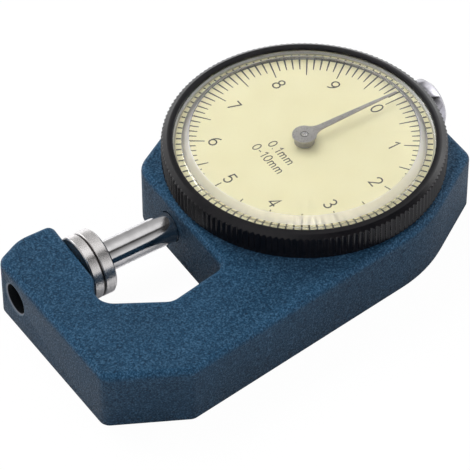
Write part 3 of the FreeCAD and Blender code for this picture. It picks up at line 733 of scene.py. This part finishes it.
# Bezel: a black anodised aluminium ring with a fine straight knurl, which is cut before the
# smooth shoulder is turned, so that the ridges end in small scallops.
knurl_ridges = 150
points_per_ridge = 10
knurl_depth = 0.35 * MM
knurl_sharpness = 1.3
bezel_radius = bezel_high.x
lip_radius = 25.0 * MM
bore_radius = dial_high.x + 0.04 * MM
flange_top = dial_high.z + 1.0 * MM
rim_radius = lip_radius + 1.1 * MM
shoulder_low = bezel_high.z - 0.75 * MM
foot_chamfer = 0.3 * MM
spring_slot_low = 14.35 * MM
spring_slot_high = 15.45 * MM
spring_slot_depth = 0.3 * MM
edge_softness = 0.12 * MM


def corner_arc(corner, before, after, radius, steps=5):
    """A rounded corner of a profile: points on the arc that touches both of its sides."""
    corner, before, after = (np.asarray(p, float) for p in (corner, before, after))
    to_before = (before - corner) / np.linalg.norm(before - corner)
    to_after = (after - corner) / np.linalg.norm(after - corner)
    half = math.acos(float(np.clip(to_before @ to_after, -1, 1))) / 2
    middle = (to_before + to_after) / np.linalg.norm(to_before + to_after)
    centre = corner + middle * radius / math.sin(half)
    share = np.linspace(-1, 1, steps)[:, None]
    sweep = math.pi / 2 - half
    across = np.array((-middle[1], middle[0]))
    if across @ (to_after - to_before) < 0:
        across = -across
    return centre - radius * (middle * np.cos(share * sweep) - across * np.sin(share * sweep))


def rounded_profile(points, radii):
    """A closed profile with each corner rounded by its own radius, or kept where that is 0."""
    count = len(points)
    rows = []
    for i in range(count):
        if radii[i] > 0:
            rows.append(corner_arc(points[i], points[i - 1], points[(i + 1) % count], radii[i]))
        else:
            rows.append(np.atleast_2d(np.asarray(points[i], float)))
    return np.concatenate(rows)


def turned_mesh(name, radius, height, closed):
    """A grid of radius and height over (profile, angle), wrapped round the dial axis."""
    rows, columns = radius.shape
    angle = np.linspace(0, 2 * np.pi, columns, endpoint=False)
    verts = np.stack([radius * np.cos(angle), radius * np.sin(angle), height], axis=-1).reshape(-1, 3)
    row = np.arange(rows if closed else rows - 1)[:, None]
    column = np.arange(columns)[None, :]
    ahead_row, ahead_column = (row + 1) % rows, (column + 1) % columns
    quads = np.stack([
        row * columns + column,
        row * columns + ahead_column,
        ahead_row * columns + ahead_column,
        ahead_row * columns + column,
    ], axis=-1).reshape(-1, 4)
    faces = quads.tolist()
    if not closed:
        faces.append(list(range(columns))[::-1])
        faces.append([(rows - 1) * columns + i for i in range(columns)])
    data = bpy.data.meshes.new(name)
    data.from_pydata(verts.tolist(), [], faces)
    data.shade_smooth()
    data.set_sharp_from_angle(angle=math.radians(35.0))
    piece = bpy.data.objects.new(name, data)
    bpy.context.scene.collection.objects.link(piece)
    return piece


def bezel_grid():
    """The ring's profile carried round the axis. On the skirt, the radius is the least of the
    ridge's round wave, the shoulder's cone and the foot's chamfer, which cuts the scallops.
    The skirt's rows lie close together along the foot and where the ridges end."""
    foot_end = bezel_low.z + foot_chamfer + knurl_depth
    plain_start = bezel_low.z + 1.2 * MM
    scallop_start = shoulder_low - 0.1 * MM
    scallop_end = shoulder_low + 0.26 * MM
    skirt = np.concatenate([
        np.linspace(bezel_low.z, foot_end, 7),
        np.linspace(plain_start, scallop_start - 0.2 * MM, 5),
        np.linspace(scallop_start, scallop_end, 8),
        np.linspace(scallop_end + 0.08 * MM, bezel_high.z - 0.07 * MM, 4),
    ])
    slope = (bezel_radius - rim_radius) / (bezel_high.z - shoulder_low)
    cone = bezel_radius - np.clip(skirt - shoulder_low, 0, None) * slope
    foot = bezel_radius - np.clip(foot_chamfer - (skirt - bezel_low.z), 0, None)
    rest = rounded_profile([
        (rim_radius, bezel_high.z),
        (lip_radius, bezel_high.z),
        (lip_radius, flange_top),
        (bore_radius, flange_top),
        (bore_radius, spring_slot_high),
        (bore_radius + spring_slot_depth, spring_slot_high),
        (bore_radius + spring_slot_depth, spring_slot_low),
        (bore_radius, spring_slot_low),
        (bore_radius, bezel_low.z),
    ], [0, edge_softness, 0, 0, 0, 0, 0, 0, 0])
    wave = np.arange(knurl_ridges * points_per_ridge) * 2 * np.pi / points_per_ridge
    groove = knurl_depth * np.abs(np.sin(wave / 2)) ** knurl_sharpness
    limit = np.minimum(cone, foot)[:, None]
    knurled = np.minimum(bezel_radius - groove[None, :], limit)
    columns = knurled.shape[1]
    radius = np.concatenate([knurled, np.repeat(rest[:, :1], columns, axis=1)])
    height = np.concatenate([
        np.repeat(skirt[:, None], columns, axis=1),
        np.repeat(rest[:, 1:], columns, axis=1),
    ])
    return radius, height


bezel_black, tree, shade = new_finish("black_anodised", (0.005, 0.005, 0.006), 0.0, 0.34)
shade.inputs["Specular IOR Level"].default_value = 0.25
turning = grain(tree, 0.5 * MM, 2.0, (1, 1, 7))
tree.links.new(greys(tree, turning, (0.3, 0.15), (0.75, 0.26)), shade.inputs["Roughness"])
worn = grain(tree, 1.6 * MM, 3.0)
black = shades(tree, worn, (0.35, (0.003, 0.003, 0.004)), (0.8, (0.007, 0.006, 0.007)))
tree.links.new(black, shade.inputs["Base Color"])
relief(tree, shade, turning, 0.006 * MM)
radius, height = bezel_grid()
bezel_ring = turned_mesh("bezel_ring", radius, height, True)
place_piece(bezel_ring, bezel_black, "bezel", "bezel_black", "bezel")


# Crystal: one clear acrylic moulding. Its flange is held between the dial and the bezel's lip,
# and a lightly frosted shoulder runs from its flat outer ring up to the low dome.
crystal_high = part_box("crystal")[1]
crystal_fit = 0.03 * MM
flange_radius = dial_high.x
flange_floor = dial_high.z + crystal_fit
flange_ceiling = flange_top - 0.01 * MM
side_radius = lip_radius - crystal_fit
ring_top = bezel_high.z - 0.55 * MM
shoulder_foot = 23.34 * MM
dome_rim_radius = 22.1 * MM
dome_rim_z = bezel_high.z + 0.70 * MM
dome_rise = crystal_high.z - dome_rim_z
ceiling_z = bezel_high.z + 0.32 * MM
ceiling_rise = 0.73 * MM
cavity_radius = 21.85 * MM
wall_radius = 23.3 * MM
shoulder_slope = (dome_rim_z - ring_top) / (shoulder_foot - dome_rim_radius)
wall_top = ceiling_z - (wall_radius - cavity_radius) * shoulder_slope
pole_radius = 0.02 * MM
dome_rings = 14
crystal_steps = 256
clear = (0.985, 0.99, 0.98)
frost = 0.42


def crystal_profile():
    """The half section from the middle of the ceiling, round the flange, to the dome's top.
    The ceiling and the dome are parts of circles whose centres lie on the dial axis."""
    outline = [
        (cavity_radius, ceiling_z),
        (wall_radius, wall_top),
        (wall_radius, flange_floor),
        (flange_radius, flange_floor),
        (flange_radius, flange_ceiling),
        (side_radius, flange_ceiling),
        (side_radius, ring_top),
        (shoulder_foot, ring_top),
        (dome_rim_radius, dome_rim_z),
    ]
    closed = [(pole_radius, ceiling_z)] + outline + [(pole_radius, crystal_high.z)]
    rounds = [0, 0.08 * MM, 0.05 * MM, 0, 0, 0, 0, 0.08 * MM, 0.30 * MM, 0.6 * MM, 0]
    body = rounded_profile(closed, rounds)[1:-1]
    bow = (dome_rim_radius ** 2 + dome_rise ** 2) / (2 * dome_rise)
    reach = np.linspace(body[-1][0], pole_radius, dome_rings)[1:]
    rise = crystal_high.z - bow + np.sqrt(bow ** 2 - reach ** 2)
    inner_bow = (cavity_radius ** 2 + ceiling_rise ** 2) / (2 * ceiling_rise)
    inner_reach = np.linspace(pole_radius, body[0][0], dome_rings)[:-1]
    inner_rise = ceiling_z + ceiling_rise - inner_bow + np.sqrt(inner_bow ** 2 - inner_reach ** 2)
    ceiling = np.column_stack([inner_reach, inner_rise])
    return np.concatenate([ceiling, body, np.column_stack([reach, rise])])


clear_acrylic, tree, shade = new_finish("clear_acrylic", clear, 0.0, 0.0)
shade.inputs["Transmission Weight"].default_value = 1.0
shade.inputs["IOR"].default_value = 1.49
haze = greys(tree, grain(tree, 4.0 * MM, 3.0), (0.4, 0.0), (0.9, 0.03))
reach = axis_distance(tree, (0, 0, 0), (1, 1, 0))
level = sums(tree, "ADD", place_along(tree, "Z"), sums(tree, "MULTIPLY", reach, shoulder_slope))
cone_level = ring_top + shoulder_slope * shoulder_foot
on_cone = between(tree, level, cone_level - 0.20 * MM, cone_level - 0.10 * MM)
inside_foot = between(tree, reach, shoulder_foot + 0.05 * MM, shoulder_foot - 0.05 * MM)
on_shoulder = sums(tree, "MULTIPLY", on_cone, inside_foot)
frosted = sums(tree, "MULTIPLY", on_shoulder, frost)
# The shoulder's bluish tint is painted highlight: it stands in for the lilac-white light that the shoulder
# shows towards the lens.
shoulder_highlight_tint = blend_colours(tree, on_shoulder, clear, (0.86, 0.85, 0.97))
tree.links.new(shoulder_highlight_tint, shade.inputs["Base Color"])
tree.links.new(sums(tree, "ADD", haze, frosted), shade.inputs["Roughness"])
profile = crystal_profile()
crystal_cover = turned_mesh(
    "crystal_cover",
    np.repeat(profile[:, :1], crystal_steps, axis=1),
    np.repeat(profile[:, 1:], crystal_steps, axis=1),
    False,
)
place_piece(crystal_cover, clear_acrylic, "bezel", "clear_acrylic", "crystal")

# The near window: a long soft lamp high on the lens's side of the room, which only the crystal
# mirrors. It gives the crystal's shoulder its pale highlight towards the lens.
window_away = 0.414
window_height = 0.7992
window_data = bpy.data.lights.new("near_window", "AREA")
window_data.shape = "RECTANGLE"
window_data.size = 2.0
window_data.size_y = 0.5
window_data.energy = 14.0
window_data.color = (0.95, 0.88, 1.0)
window = bpy.data.objects.new("near_window", window_data)
window.visible_diffuse = False
window.visible_transmission = False
bpy.context.scene.collection.objects.link(window)
window_place = Vector((back.x, back.y, 0)).normalized() * window_away + Vector((0, 0, window_height))
window_turn = (-window_place).to_track_quat("-Z", "Y")
window.matrix_world = Matrix.Translation(window_place) @ window_turn.to_matrix().to_4x4()
mirrors = bpy.data.collections.new("mirrors_the_window")
mirrors.objects.link(crystal_cover)
window.light_linking.receiver_collection = mirrors
